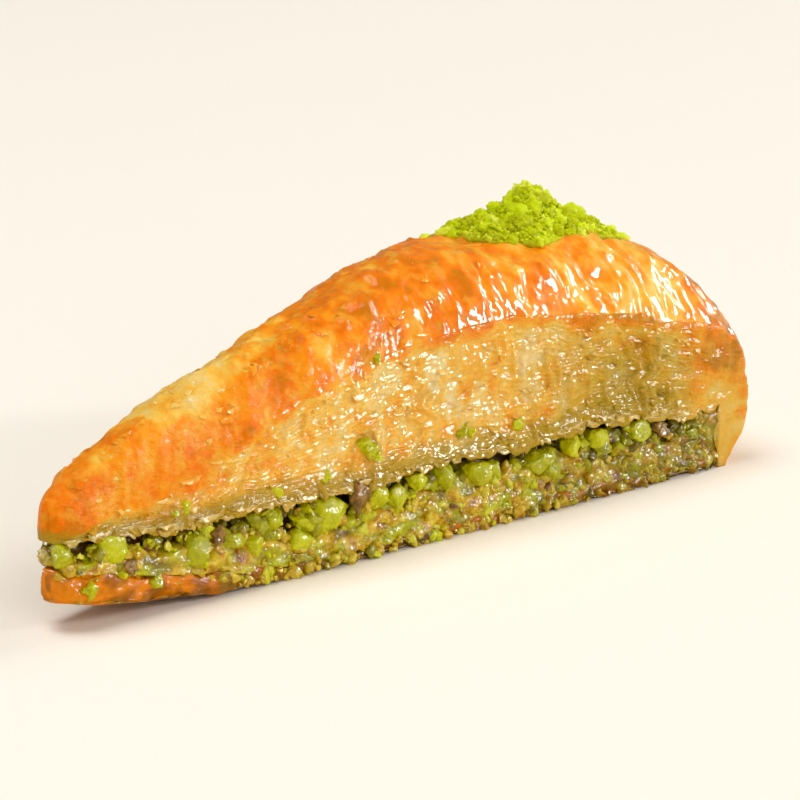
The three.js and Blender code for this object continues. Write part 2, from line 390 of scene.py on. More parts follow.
# Forms of lumps: roundness of the ball, number of flat cuts, how far from the middle these pass, and
# height and fineness of the knobs
LARGE_NUT = (3, 8, (0.5, 0.8), 0.2, 2.6)
CHOPPED_NUT = (3, 8, (0.35, 0.75), 0.3, 2.6)
SMALL_NUT = (2, 8, (0.35, 0.75), 0.3, 2.6)
LOOSE_CRUMB = (2, 6, (0.4, 0.8), 0.4, 3.0)
STUCK_CRUMB = (3, 5, (0.4, 0.8), 0.45, 2.8)
NUT_CLUMP = (3, 2, (0.6, 0.9), 0.36, 3.2)
NUT_GRAIN = (2, 2, (0.6, 0.9), 0.25, 3.2)

# Width of a ball of radius 1 once it is cut, the share of a cap that a cut takes off, and the stretch
CUT_WIDTH = 1.75
CUT_SHARE = 0.9
STRETCH = (0.75, 1.3)


def lumps(centres, sizes, form, skin_share=0.0):
    """Chopped lumps: balls cut flat by random planes, stretched and turned at random."""
    level, cuts, flat, rough, knob = form
    shape, shape_faces = ball(level)
    count = len(centres)
    points = np.repeat(shape[None], count, 0)
    skin = smooth(0.45, 0.6, np.einsum("nvc,nc->nv", points, random_directions(count)))
    skin = skin * (rng.random(count) < skin_share)[:, None]
    for _ in range(cuts):
        plane = random_directions(count)
        limit = rng.uniform(*flat, count)
        beyond = np.maximum(0, np.einsum("nvc,nc->nv", points, plane) - limit[:, None])
        points = points - CUT_SHARE * beyond[..., None] * plane[:, None]
    shift = rng.uniform(0, 90, count)[:, None]
    knobs = fractal(points[..., 0] * knob + shift, points[..., 1] * knob, points[..., 2] * knob, seed=7)
    points = points * (1 + rough * knobs)[..., None]
    points = points * rng.uniform(*STRETCH, (count, 1, 3))
    points = np.einsum("nvc,ncd->nvd", points, random_turns(count))
    points = centres[:, None] + points * (sizes / CUT_WIDTH)[:, None, None]
    faces = shape_faces + (np.arange(count) * len(shape))[:, None, None]
    return points.reshape(-1, 3), faces.reshape(-1, 3), skin.reshape(-1)


FLAKE_STEPS = (8, 4)
UP = np.array([0, 0, 1.0])

# Forms of flakes: ranges of length, reach, angle below straight out and curl, and the thickness
FACE_FLAKE = ((1.2, 4.5), (0.6, 1.7), (0.3, 1.4), (0.0, 1.0), 0.14)
FRINGE_FLAKE = ((2.0, 5.5), (0.7, 1.7), (1.0, 1.5), (-0.3, 0.5), 0.35)
CRUST_FLAKE = ((1.4, 3.6), (0.7, 1.8), (-0.08, 0.1), (0.1, 0.5), 0.1)


def border(grid):
    """The point numbers round the edge of a grid."""
    return np.concatenate([grid[:-1, 0], grid[-1, :-1], grid[:0:-1, -1], grid[0, :0:-1]])


def flakes(roots, out, up, form):
    """Thin torn sheets as closed shells. Each leaves its root at an angle below straight out and curls."""
    *ranges, thickness = form
    columns, rows = FLAKE_STEPS
    count = len(roots)
    lengths, reaches, angles, curls = (rng.uniform(*limits, count)[:, None, None] for limits in ranges)
    out, up = (np.broadcast_to(axis, (count, 3))[:, None, None] for axis in (out, up))
    right = np.cross(out, up)
    u = np.linspace(-1, 1, columns + 1)[None, :, None]
    v = np.linspace(0, 1, rows + 1)[None, None, :]
    shift = rng.uniform(0, 500, count)[:, None, None]
    ragged = 0.75 + 0.3 * noise(u * 1.6 + shift, seed=150) + 0.12 * noise(u * 5 + shift, seed=151)
    rounded = np.sqrt(np.maximum(0.12, 1 - np.abs(u) ** 6))
    travel = reaches * ragged * rounded * v
    angle = angles + curls * v / 2 + 0 * u
    ripple = 0.25 * noise(u * 1.7 + shift, v * 1.3, seed=152) * (0.3 + v)
    beyond = (travel * np.cos(angle) + ripple * np.sin(angle))[..., None]
    drop = (travel * np.sin(angle) - ripple * np.cos(angle))[..., None]
    sideways = lengths / 2 * u * (1 - 0.2 * v) + 0.2 * noise(v * 3 + shift, u * 2, seed=153)
    middle = roots[:, None, None] + sideways[..., None] * right + beyond * out - drop * up
    normal = np.sin(angle)[..., None] * out + np.cos(angle)[..., None] * up
    half = thickness / 2 * (1 - 0.5 * v)[..., None]
    points = np.stack([middle + half * normal, middle - half * normal], 1)
    index = np.arange(2 * (columns + 1) * (rows + 1)).reshape(2, columns + 1, rows + 1)
    front, back = index
    edge_front, edge_back = border(front), border(back)
    rim = np.stack([edge_front, edge_back, np.roll(edge_back, -1), np.roll(edge_front, -1)], -1)
    faces = np.concatenate([grid_faces(front, False), grid_faces(back, True), rim])
    faces = faces + (np.arange(count) * index.size)[:, None, None]
    return points.reshape(-1, 3), faces.reshape(-1, 4)


# Materials

def shader(name):
    """A material, its Principled shader and a helper that adds nodes."""
    material = bpy.data.materials.new(name)
    material.use_nodes = True
    tree = material.node_tree
    surface = tree.nodes["Principled BSDF"]

    def add(kind, links=None, **settings):
        node = tree.nodes.new(kind)
        for key, value in settings.items():
            if key in node.inputs:
                node.inputs[key].default_value = value
            else:
                setattr(node, key, value)
        for socket, source in (links or {}).items():
            tree.links.new(source, node.inputs[socket])
        return node

    return material, tree, surface, add


def srgb(red, green, blue):
    """A linear colour with alpha from the usual 0 to 255 values."""
    linear = []
    for value in (red, green, blue):
        share = value / 255
        linear.append(share / 12.92 if share <= 0.04045 else ((share + 0.055) / 1.055) ** 2.4)
    return (*linear, 1.0)


def ramp(add, source, stops):
    """A colour ramp with the given (place, colour) stops."""
    node = add("ShaderNodeValToRGB", {"Fac": source})
    elements = node.color_ramp.elements
    while len(elements) < len(stops):
        elements.new(0.5)
    for element, (position, colour) in zip(elements, stops):
        element.position = position
        element.color = srgb(*colour)
    return node.outputs["Color"]


def blend(add, share, first, second):
    """One colour mixed into another by a share."""
    node = add("ShaderNodeMix", data_type="RGBA")
    links = node.id_data.links
    links.new(share, node.inputs[0])
    for socket, value in ((node.inputs[6], first), (node.inputs[7], second)):
        if isinstance(value, tuple):
            socket.default_value = srgb(*value)
        else:
            links.new(value, socket)
    return node.outputs[2]


def attribute(add, name):
    return add("ShaderNodeAttribute", attribute_name=name).outputs["Fac"]


def speckle(add, scale, detail=4.0, stretch=(1, 1, 1)):
    """Fine noise fixed to the object; scale is features per metre."""
    where = add("ShaderNodeTexCoord").outputs["Object"]
    if stretch != (1, 1, 1):
        where = add("ShaderNodeMapping", {"Vector": where}, Scale=stretch).outputs["Vector"]
    return add("ShaderNodeTexNoise", {"Vector": where}, Scale=scale, Detail=detail).outputs["Fac"]


def nudged(add, value, spread, amount):
    """A value moved up and down by noise."""
    move = add("ShaderNodeMath", {0: spread}, operation="MULTIPLY_ADD")
    move.inputs[1].default_value = 2 * amount
    move.inputs[2].default_value = -amount
    return add("ShaderNodeMath", {0: value, 1: move.outputs[0]}, operation="ADD").outputs[0]


def patches(add, scale, low, high, most):
    """A share that rises from 0 to most where noise passes from low to high."""
    limits = {"From Min": low, "From Max": high, "To Max": most}
    return add("ShaderNodeMapRange", {"Value": speckle(add, scale, 3.0)}, **limits).outputs["Result"]


def product(add, first, second):
    return add("ShaderNodeMath", {0: first, 1: second}, operation="MULTIPLY").outputs[0]


def relief(tree, add, surface, height, distance, film, film_distance):
    """Fine bumps on the surface, and a smoother film of syrup over it."""
    for name, source, depth in (("Normal", height, distance), ("Coat Normal", film, film_distance)):
        bump = add("ShaderNodeBump", {"Height": source}, Distance=depth)
        tree.links.new(bump.outputs["Normal"], surface.inputs[name])


FINISH = (
    "Specular IOR Level",
    "Roughness",
    "Coat Weight",
    "Coat Roughness",
    "Subsurface Weight",
    "Subsurface Radius",
    "Subsurface Scale",
)


def moist(surface, *values):
    """Sets a surface's gloss, its syrup coat and the light that it lets in, in the order of FINISH."""
    for name, value in zip(FINISH, values):
        surface.inputs[name].default_value = value


# Strength of the syrup coat where pastry is wettest
MOST_SYRUP = 0.6


def pastry_material(name, scatter):
    """Baked pastry: cream where cut, gold to deep orange where browned, wet with syrup."""
    material, tree, surface, add = shader(name)
    mottle = speckle(add, 380, 5.0)
    tone = nudged(add, attribute(add, "bake"), mottle, 0.2)
    colour = ramp(add, tone, [
        (0.00, (249, 229, 176)),
        (0.18, (243, 208, 126)),
        (0.36, (246, 192, 76)),
        (0.54, (250, 150, 14)),
        (0.72, (244, 122, 0)),
        (0.84, (206, 120, 0)),
        (1.00, (166, 100, 0)),
    ])
    colour = blend(add, patches(add, 260, 0.54, 0.64, 0.38), colour, (252, 190, 62))
    crisp = attribute(add, "crisp")
    colour = blend(add, product(add, patches(add, 420, 0.48, 0.66, 0.36), crisp), colour, (252, 192, 62))
    olive = nudged(add, attribute(add, "olive"), speckle(add, 600), 0.1)
    tree.links.new(blend(add, olive, colour, (172, 142, 18)), surface.inputs["Base Color"])
    moist(surface, 0.04, 0.4, 0.36, 0.07, scatter, (1.0, 0.6, 0.15), 0.0011)
    wet = add("ShaderNodeMath", {0: attribute(add, "wet")}, operation="MULTIPLY")
    wet.inputs[1].default_value = MOST_SYRUP
    tree.links.new(wet.outputs[0], surface.inputs["Coat Weight"])
    fine = product(add, speckle(add, 900, 4.0, (1.0, 1.0, 1.5)), crisp)
    relief(tree, add, surface, fine, 0.0005, product(add, speckle(add, 520, 1.0), crisp), 0.0007)
    return material


def nut_material():
    """Pistachio kernels: lime to olive flesh with brown skin, in golden syrupy mash."""
    material, tree, surface, add = shader("nut_filling")
    mottle = speckle(add, 700)
    # Low tint values near the rim are painted shade.
    flesh = ramp(add, nudged(add, attribute(add, "tint"), mottle, 0.14), [
        (0.00, (66, 44, 12)),
        (0.25, (130, 112, 18)),
        (0.55, (184, 182, 0)),
        (0.80, (210, 210, 6)),
        (1.00, (232, 214, 80)),
    ])
    skin_tone = ramp(add, mottle, [(0.35, (96, 50, 30)), (0.65, (176, 116, 72))])
    mash_tone = ramp(add, speckle(add, 420, 5.0), [
        (0.32, (156, 96, 0)),
        (0.48, (212, 166, 18)),
        (0.66, (244, 218, 80)),
    ])
    coloured = blend(add, attribute(add, "skin"), flesh, skin_tone)
    coloured = blend(add, attribute(add, "mash"), coloured, mash_tone)
    # Painted shade: the deep value darkens lumps and mash in the pockets and towards the rim.
    coloured = blend(add, attribute(add, "deep"), coloured, (70, 42, 8))
    tree.links.new(coloured, surface.inputs["Base Color"])
    moist(surface, 0.04, 0.45, 0.5, 0.07, 0.3, (0.9, 0.8, 0.15), 0.0008)
    relief(tree, add, surface, mottle, 0.0009, speckle(add, 800, 2.0), 0.0008)
    return material


def syrup_pastry_material():
    """The bottom sheets: amber, smooth and soaked with syrup."""
    material, tree, surface, add = shader("syrup_pastry")
    mottle = speckle(add, 260, 5.0)
    colour = ramp(add, nudged(add, attribute(add, "dark"), mottle, 0.25), [
        (0.00, (234, 136, 0)),
        (0.30, (172, 98, 0)),
        (0.62, (146, 106, 16)),
        (1.00, (104, 82, 16)),
    ])
    colour = blend(add, patches(add, 150, 0.5, 0.7, 0.5), colour, (228, 136, 0))
    colour = blend(add, patches(add, 230, 0.5, 0.66, 0.5), colour, (132, 80, 8))
    tree.links.new(colour, surface.inputs["Base Color"])
    moist(surface, 0.02, 0.35, 0.3, 0.05, 0.4, (1.0, 0.6, 0.05), 0.0016)
    relief(tree, add, surface, mottle, 0.0006, speckle(add, 600, 2.0), 0.0009)
    return material


def ground_nut_material():
    """Finely ground pistachio: bright yellow-green and dry."""
    material, tree, surface, add = shader("ground_nut")
    mottle = speckle(add, 900)
    # On the heap the tint value holds painted shade, darker in the hollows between lumps.
    colour = ramp(add, nudged(add, attribute(add, "tint"), mottle, 0.2), [
        (0.00, (146, 134, 2)),
        (0.30, (178, 184, 0)),
        (0.65, (202, 218, 6)),
        (1.00, (238, 246, 84)),
    ])
    tree.links.new(colour, surface.inputs["Base Color"])
    moist(surface, 0.04, 0.7, 0.0, 0.1, 0.55, (0.8, 0.9, 0.1), 0.0012)
    relief(tree, add, surface, mottle, 0.0003, mottle, 0.0003)
    return material


# Sheets above the filling, with the crust and the cut faces

TOP_STEPS = (480, 72, 120)
WALL_STEPS = 20
WALL_JOINT = 0.12
LAYER_COUNT = 24
FACE_RECESS = 0.35
RIM_SAG = 1.6
NOSE_BULGE = 0.9

# The deepest browning before the rim, and the deepest stain of a cut face
DEEPEST_CRUST = 0.77
MOST_STAINED = 0.52


def crust_sag(base):
    """How far the crust bends down over the rim, in millimetres."""
    return RIM_SAG * smooth(149, 158, base) ** 2


def crust_folds(along, across):
    """Pinched folds of the glazed crust that run down both shoulders, in millimetres."""
    y = across * half_width(along)
    apart = 40 * np.sign(across)
    warp = 1.1 * noise(along / 13, y / 9, seed=3) + 0.45 * noise(along / 5, y / 5, seed=4)
    large = ridged(along / 4.6 + warp, y / 17 + apart, seed=16)
    small = ridged(along / 2.3 + 1.7 * warp, y / 9 + apart, seed=17)
    shoulder = smooth(0.12, 0.5, np.abs(across)) * mix(1, 0.6, smooth(0.88, 1, np.abs(across)))
    patch = mix(0.25, 1, smooth(-0.4, 0.4, noise(along / 11, y / 8, seed=5)))
    strength = mix(0.2, 1, smooth(64, 112, along)) * mix(1, 0.4, smooth(148, 158, along))
    return shoulder * patch * strength * (1.0 * large + 0.45 * small - 0.5)


def terraces(value):
    """Flat plates with short steps between them, as torn sheets make."""
    whole = np.floor(value)
    return whole + smooth(0.8, 1, value - whole)


def crust_relief(along, across):
    """Folds, blisters, torn plates and fine creases of the crust, in millimetres."""
    y = across * half_width(along)
    blister = np.maximum(0, fractal(along / 8, y / 6, seed=8) - 0.2) * 0.9
    plates = 0.2 * terraces(2.6 * fractal(along / 15, y / 9, seed=6, octaves=4))
    dents = 0.3 * fractal(along / 4.5, y / 3.5, seed=9, octaves=2)
    creases = 0.14 * ridged(along / 2.2, y / 4 + along / 9, seed=10)
    pimples = 0.1 * fractal(along / 1.5, y / 1.8, seed=12, octaves=2)
    return crust_folds(along, across) + blister + plates + dents + creases + pimples


def torn_edges(along, level, side):
    """How far each sheet's torn edge stands out of the cut face, in millimetres."""
    bend = 0.9 * noise(along / 9, level * 4, seed=20 + side)
    bend = bend + 0.45 * noise(along / 3, level * 9, seed=23 + side)
    layer = level * LAYER_COUNT + bend
    number = np.floor(layer)
    share = layer - number
    lip = 0.3 * (1 - share) ** 1.5 * smooth(0, 0.2, share)
    torn = 0.38 * noise(along / 3.4 + 17.3 * number, number * 0.37, seed=30 + side)
    torn = torn + 0.3 * noise(along / 1.3 + 5.1 * number, number * 0.71, seed=33 + side)
    return lip + torn * (1 - 0.5 * share)


def browned_side(along, height, side):
    """1 where the crust's browning runs down a cut face, towards the tip and at the rim."""
    wobble = fractal(along / 6, height / 5, seed=47 + side)
    wobble = wobble * mix(0.9, 2.0, smooth(25, 50, along))
    front = 18.8 + 15 * smooth(20, 58, along)
    from_tip = smooth(-1.2, 1.2, height + wobble - front) * smooth(68, 56, along)
    from_rim = smooth(136, 152, along + 2.5 * wobble)
    return np.maximum(from_tip, from_rim)


def cut_relief(along, level, side):
    """Flaky relief of a cut face, outwards, in millimetres."""
    thickness = face_thickness(along)
    height = overhang_height(along) + level * thickness
    pleat = noise(level * 6, along / 10, seed=36 + side)
    crinkle = ridged(along / 2.4 + 0.9 * pleat, height / 7, seed=39 + side) ** 1.5
    crinkle = crinkle * smooth(-0.4, 0.4, noise(along / 9, level * 3, seed=45 + side))
    blobs = 0.35 * fractal(along / 2.6, height / 2.1, seed=48 + side, octaves=2)
    broad = 0.5 * fractal(along / 13, level * 2.5, seed=42 + side, octaves=2)
    lower_flare = 0.7 * smooth(0.22, 0.04, level)
    hollow = 0.4 * np.sin(math.pi * np.clip(level, 0, 1))
    scale = np.clip(thickness / 16, 0.35, 1)
    flaky = 0.8 * torn_edges(along, level, side) + crinkle + blobs + broad + lower_flare - hollow
    calm = 0.35 * fractal(along / 4, height / 3, seed=46 + side, octaves=4) - 0.1
    from_crust = smooth(6, 0.5, (1 - level) * thickness)
    calm = mix(calm, crust_relief(along, side), from_crust)
    return mix(scale * flaky - FACE_RECESS, calm, 0.85 * browned_side(along, height, side))


def crust_tone(along, across):
    """How browned the crust is, from 0 for cream to 1 for deep amber."""
    y = across * half_width(along)
    before_rim = smooth(150, 142, along)
    tone = 0.72 + 0.05 * bell(along - 76, 24)
    tone = tone - 0.16 * smooth(100, 130, along) * before_rim
    tone = tone - 0.08 * smooth(118, 140, along) * before_rim * smooth(0.2, 0.8, np.abs(across))
    tone = tone + 0.24 * smooth(146, 156, along)
    gold = smooth(0.0, 0.5, fractal(along / 6, y / 5, seed=50))
    tone = tone - 0.11 * gold
    ridge = smooth(0.7, 0.35, np.abs(across)) * smooth(72, 46, along) * smooth(4, 14, along)
    tone = tone - 0.34 * ridge * smooth(-0.5, 0.2, fractal(along / 7, y / 5, seed=54))
    tone = tone - 0.07 * smooth(0.6, 0.1, np.abs(across)) * smooth(50, 80, along)
    crease = ridged(along / 7.2, across * 1.2, seed=51) * smooth(0.2, 0.7, np.abs(across))
    tone = tone + 0.13 * fractal(along / 2.8, y / 2.4, seed=52) - 0.08 * crease
    return np.minimum(tone, mix(DEEPEST_CRUST, 1, smooth(142, 150, along)))


def face_tone(along, level, side):
    """How browned a cut face is."""
    thickness = face_thickness(along)
    depth = (1 - level) * thickness
    height = level * thickness
    reach = mix(0.8, 3.2, smooth(-0.3, 0.6, noise(along / 7, level * 3, seed=70 + side)))
    towards_rim = smooth(100, 130, along)
    reach = reach * mix(1, 3.2, towards_rim)
    from_crust = mix(crust_tone(along, side), 0.82, towards_rim) * np.exp(-(depth / reach) ** 1.5)
    stains = 0.34 * smooth(0.0, 0.6, fractal(along / 3.6, height / 6, seed=72 + side))
    stains = stains * smooth(0, 6, height) * mix(1, 0.6, smooth(90, 130, along))
    lines = 0.14 * smooth(0.3, 0.8, noise(along / 6, level * LAYER_COUNT * 0.5, seed=74 + side))
    streaks = mix(0.14, 0.22, towards_rim) * fractal(along / 2.4, height / 15, seed=78 + side)
    pale = 0.19 + 0.12 * fractal(along / 3.0, height / 2.6, seed=76 + side) + streaks + stains + lines
    pale = pale + 0.25 * smooth(76, 40, along) + 0.14 * smooth(86, 130, along) + 0.22 * smooth(9, 0, height)
    pale = MOST_STAINED * np.tanh(pale / MOST_STAINED)
    lower_rim = smooth(2, 12, height + 3 * noise(along / 4, height / 4, seed=79))
    amber = mix(mix(0.66, 0.4, smooth(132, 146, along)), 0.97, smooth(136, 148, along) * lower_rim)
    amber = mix(crust_tone(along, side), amber, smooth(0.5, 6, depth))
    amber = amber + 0.1 * fractal(along / 5, height / 4, seed=81)
    browned = browned_side(along, overhang_height(along) + height, side)
    return mix(np.maximum(from_crust, pale), amber, browned)


def rim_green(height):
    """How much the syrup has tinted the rim, less of it higher up."""
    return mix(0.3, 0.2, smooth(3, 14, height))


def face_green(along, level, side):
    """How much the filling's syrup has tinted a cut face."""
    height = level * face_thickness(along)
    band = smooth(6, 1, height + 1.2 * noise(along / 3, height / 2, seed=84 + side))
    ragged_level = level + 0.16 * noise(along / 6, level * 4, seed=86)
    right = smooth(96, 128, along) * mix(0.25, 0.65, smooth(0.95, 0.5, ragged_level))
    browned = browned_side(along, overhang_height(along) + height, side)
    green = np.clip(0.85 * band + right + 0.1 * smooth(50, 80, along), 0, 0.9)
    return mix(green, rim_green(height) * smooth(100, 140, along), browned)


def towards_middle(along):
    """Share of the syrup's gloss on the cut sheets: duller towards the tip and the rim."""
    return mix(0.45, 1, smooth(30, 70, along)) * mix(1, 0.5, smooth(86, 118, along))


def top_stations():
    """Steps along the top sheets, closer within the rim's wall, and the number of the last one before it."""
    flat = TOP_STEPS[0] - WALL_STEPS - 1
    wall = np.linspace(WALL_INSIDE, SLICE_LENGTH, WALL_STEPS + 1)
    return np.concatenate([stations_to(WALL_INSIDE - GAP, flat), wall]), flat


def crust_height(base, across, side):
    """Height of the crust, wavy along its edges."""
    wave = 0.55 * noise(base / 4.6, seed=56 + side) + 0.3 * noise(base / 1.7, seed=58 + side)
    wave = wave * smooth(0, 6, base) * smooth(0.7, 1, np.abs(across))
    return dome_height(base, across) - crust_sag(base) + wave


def hem_wave(base, across, side):
    """How far the sheets' ragged lower edge stands above its mean height."""
    ragged = 0.8 * noise(base / 2.6, seed=60 + side) + 0.45 * noise(base / 0.9, seed=63 + side)
    return ragged * (smooth(0.7, 1, np.abs(across)) * smooth(0, 8, base))


def roundness(base, across, depth):
    """How strongly the top sheets are rounded off at the crests, the rim, its corners and the tip."""
    from_side = (1 - np.abs(across)) * half_width(base)
    from_rim = np.hypot(SLICE_LENGTH - base, depth)
    from_corner = np.hypot(SLICE_LENGTH - base, from_side)
    shares = 0.3 * bell(from_side + depth, 2.3) + 0.5 * bell(from_rim, 4.5) + 0.3 * bell(from_corner, 2.2)
    return np.minimum(shares + 0.4 * smooth(1.2, 0, base), 0.5)


def wall_relief(y, height):
    """Relief of the rim's wall, outwards, in millimetres."""
    sheets = 0.12 * ridged(y / 14, height / 1.1 + 0.6 * noise(y / 6, seed=68), seed=69)
    return 0.5 * fractal(y / 6, height / 7, seed=66) + sheets - 0.2


def wall_tone(y, height):
    """How browned the rim's wall is, paler low down."""
    tone = mix(0.38, 0.92, smooth(9, 26, height + 4 * fractal(y / 8, height / 7, seed=77)))
    return tone + 0.24 * fractal(y / 3, height / 2.5, seed=76)


def top_relief(base, across, height, depth, wall_share):
    """Relief of the crust, the cut faces and the rim's wall, outwards, in millimetres."""
    side = np.sign(across)
    face_level = (height - overhang_height(base)) / face_thickness(base)
    fade_tip = smooth(0, 6, base)
    crust = crust_relief(base, across) * mix(0.3, 1, fade_tip)
    wall = wall_relief(across * half_width(base), height)
    cut = cut_relief(base, face_level, side) * fade_tip
    cut = mix(cut, wall, np.maximum(wall_share ** 2, smooth(-0.02, -0.2, face_level)))
    ledge = 2.6 + 1.4 * noise(base / 5, seed=61 + side)
    return crust, mix(cut, crust, smooth(ledge, 0, depth)), wall


def top_values(base, across, height, on_base, on_face, on_wall, wall_share):
    """Shader values of the top sheets."""
    side = np.sign(across)
    above = height - overhang_height(base)
    face_level = above / face_thickness(base)
    browned = browned_side(base, height, side)
    tan = face_tone(base, np.clip(face_level, 0, 1), side)
    tip_tan = smooth(32, 20, base) * (1 - browned)
    bake = np.where(on_face | on_base, tan, mix(crust_tone(base, across), tan, tip_tan))
    wall = wall_tone(across * half_width(base), height)
    bake = np.where(on_wall, mix(bake, wall, smooth(0.1, 0.9, wall_share)), bake)
    olive = np.where(on_face, face_green(base, face_level, side), np.where(on_base, 0.6, 0))
    olive = np.where(on_wall, rim_green(above), olive)
    crisp = np.where(on_face, 1, mix(1, 0.25, smooth(50, 84, base)))
    face_wet = (0.7 - 0.64 * browned * smooth(80, 60, base)) * towards_middle(base)
    wet = np.where(on_face, face_wet, mix(0.04, 1, smooth(44, 100, base)))
    return {"bake": bake, "olive": olive, "crisp": crisp, "wet": wet}


def top_pastry(material):
    """The sheets above the filling. At the rim they reach down to the ground."""
    column, even, level, faces = box_shell(TOP_STEPS)
    stations, flat = top_stations()
    base = stations[column]
    side = np.sign(even)
    across = side * (1 - (1 - np.abs(even)) ** 1.4)
    in_wall = column > flat
    wall_share = np.where(in_wall, (column - flat - 1) / WALL_STEPS, 0)
    on_side = np.abs(across) == 1
    on_top = level == 1
    on_base = level == 0

    high = crust_height(base, across, side)
    face_low = overhang_height(base)
    low = face_low + np.where(in_wall, 0, hem_wave(base, across, side))
    joint = mix(face_low, high, WALL_JOINT)
    height = np.where(in_wall & (level < WALL_JOINT), joint * level / WALL_JOINT, mix(low, high, level))
    depth = high - height
    inner_wave = (0.8 * noise(height / 3, seed=65 + side) - 0.8) * on_side * smooth(0.35, 0, wall_share)
    nose_bulge = NOSE_BULGE * (1 - across ** 2) * np.sqrt(np.sin(math.pi * level))
    along = base + wall_share * wall_reach(height / high)
    along = along + np.where(in_wall & (height < face_low), inner_wave, 0)
    along = along - np.where(column == 0, nose_bulge, 0)
    points = place(along, across * nose_width(base), height)
    fixed = on_base | (in_wall & (wall_share < 0.05) & ~on_top)
    points = relaxed(points, faces, np.where(fixed, 0, roundness(base, across, depth)))

    crust, cut, wall = top_relief(base, across, height, depth, wall_share)
    push = np.where(on_top, crust, np.where(on_side, cut, 0))
    on_end = (column == TOP_STEPS[0]) & ~on_side
    push = np.where(on_end, mix(wall, crust, smooth(0.85, 1, level)), push)
    points = pushed_out(points, faces, np.where(on_base & in_wall, 0, push))
    on_face = on_side | (column == 0)
    values = top_values(base, across, height, on_base, on_face, in_wall & ~on_top, wall_share)
    piece = make_piece("pastry_layers", points, faces, material, values)
    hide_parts("top_pastry")


# Flakes of the cut faces, of the fringe and of the crust: how many, where, and how deep they are sunk
FACE_FLAKES = 320
FACE_FLAKE_RANGE = (6, 149)
FACE_FLAKE_LEVELS = (0.03, 0.93)
FACE_SINK = 0.35
FRINGE_FLAKES = 130
FRINGE_RANGE = (3, 146)
FRINGE_LEVEL = 0.04
FRINGE_RISE = (0.2, 1.6)
FRINGE_SINK = 0.3
CRUST_FLAKES = 240
CRUST_SINK = 0.05
CRUST_STEP = 0.6


def flake_values(along, bake, olive):
    """Shader values for each flake."""
    return {"bake": bake, "olive": olive, "crisp": 0.5 + 0 * along, "wet": 0.8 * towards_middle(along)}


def rooted_flakes(along, level, height, side, sink, form):
    """Flakes with their roots sunk into the relief of a cut face."""
    out = outward(side)
    stand = cut_relief(along, level, side) - sink
    return flakes(place(along, side * nose_width(along), height) + stand[:, None] * out, out, UP, form)


def torn_flakes(gathered, side):
    """Adds the sheets that stand out of a cut face."""
    along = rng.uniform(*FACE_FLAKE_RANGE, FACE_FLAKES)
    level = rng.uniform(*FACE_FLAKE_LEVELS, FACE_FLAKES)
    height = overhang_height(along) + level * face_thickness(along)
    browned = browned_side(along, height, side)
    keep = rng.random(FACE_FLAKES) > 0.25 * browned
    along, level, height, browned = (values[keep] for values in (along, level, height, browned))
    points, faces = rooted_flakes(along, level, height, side, FACE_SINK, FACE_FLAKE)
    bake = face_tone(along, level, side) + rng.uniform(-mix(0.14, 0.34, browned), 0.08)
    gathered.add(points, faces, flake_values(along, bake, face_green(along, level, side)))


def hanging_flakes(gathered, side):
    """Adds the fringe that hangs over the filling."""
    along = rng.uniform(*FRINGE_RANGE, FRINGE_FLAKES)
    height = overhang_height(along) + rng.uniform(*FRINGE_RISE, FRINGE_FLAKES)
    points, faces = rooted_flakes(along, FRINGE_LEVEL, height, side, FRINGE_SINK, FRINGE_FLAKE)
    bake = rng.uniform(0.05, 0.35, FRINGE_FLAKES)
    olive = rng.uniform(0.45, 0.9, FRINGE_FLAKES)
    gathered.add(points, faces, flake_values(along, bake, olive))


def torn_sheets(gathered, side):
    torn_flakes(gathered, side)
    hanging_flakes(gathered, side)


def crust_spot(along, across):
    """Points on the crust, with its relief."""
    height = dome_height(along, across) - crust_sag(along) + crust_relief(along, across)
    return place(along, across * nose_width(along), height)


def crust_flakes(material):
    """Small torn sheets that lie on the crust, more of them towards the tip."""
    along = 6 + 104 * rng.random(CRUST_FLAKES) ** 1.3
    across = rng.uniform(-0.93, 0.93, CRUST_FLAKES)
    across_step = CRUST_STEP / half_width(along)
    ahead = unit(crust_spot(along + CRUST_STEP, across) - crust_spot(along - CRUST_STEP, across))
    aside = unit(crust_spot(along, across + across_step) - crust_spot(along, across - across_step))
    up = unit(np.cross(ahead, aside))
    turn = rng.uniform(-0.9, 0.9, CRUST_FLAKES)[:, None]
    out = unit(np.cos(turn) * np.sign(across)[:, None] * aside + np.sin(turn) * ahead)
    points, faces = flakes(crust_spot(along, across) - CRUST_SINK * up, out, up, CRUST_FLAKE)
    bake = crust_tone(along, across) + rng.uniform(-0.2, 0.0, CRUST_FLAKES)
    gathered = Gathered()
    gathered.add(points, faces, flake_values(along, bake, 0 * bake))
    gathered.make("crust_flakes", material)


# Filling

FILLING_STEPS = (460, 10, 40)
LOW_RECESS = 0.3
HIGH_RECESS = 5.0

# Where chopped nuts lie: their reach along the slice and the highest share of the band's height
NUT_RANGE = (1.5, 151.0)
HIGHEST_NUT = 0.86

# Large nuts at the near cut face: along, height and size in millimetres
HERO_NUTS = [
    (57.1, 11.2, 6.6), (45.4, 11.2, 5.0), (10.9, 12.9, 5.4), (29.0, 9.6, 4.8), (51.6, 6.1, 4.6),
    (1.5, 13.6, 4.4), (41.0, 8.0, 3.8), (36.5, 9.1, 4.4), (69.2, 11.0, 4.6), (73.8, 9.5, 4.6),
    (78.5, 12.0, 4.0), (84.4, 11.4, 4.8), (92.7, 11.0, 5.0), (108.5, 10.1, 4.8), (115.9, 11.2, 4.6),
    (122.1, 11.6, 4.4), (132.2, 11.0, 4.2), (62.6, 7.0, 3.6),
]


def filling_recess(along, level, side):
    """How far the filling's mash stands back from a cut face."""
    pocket = smooth(0.42, 0.78, level + 0.25 * noise(along / 5, level * 2, seed=88 + side))
    return mix(LOW_RECESS, HIGH_RECESS, pocket * smooth(150, 143, along))


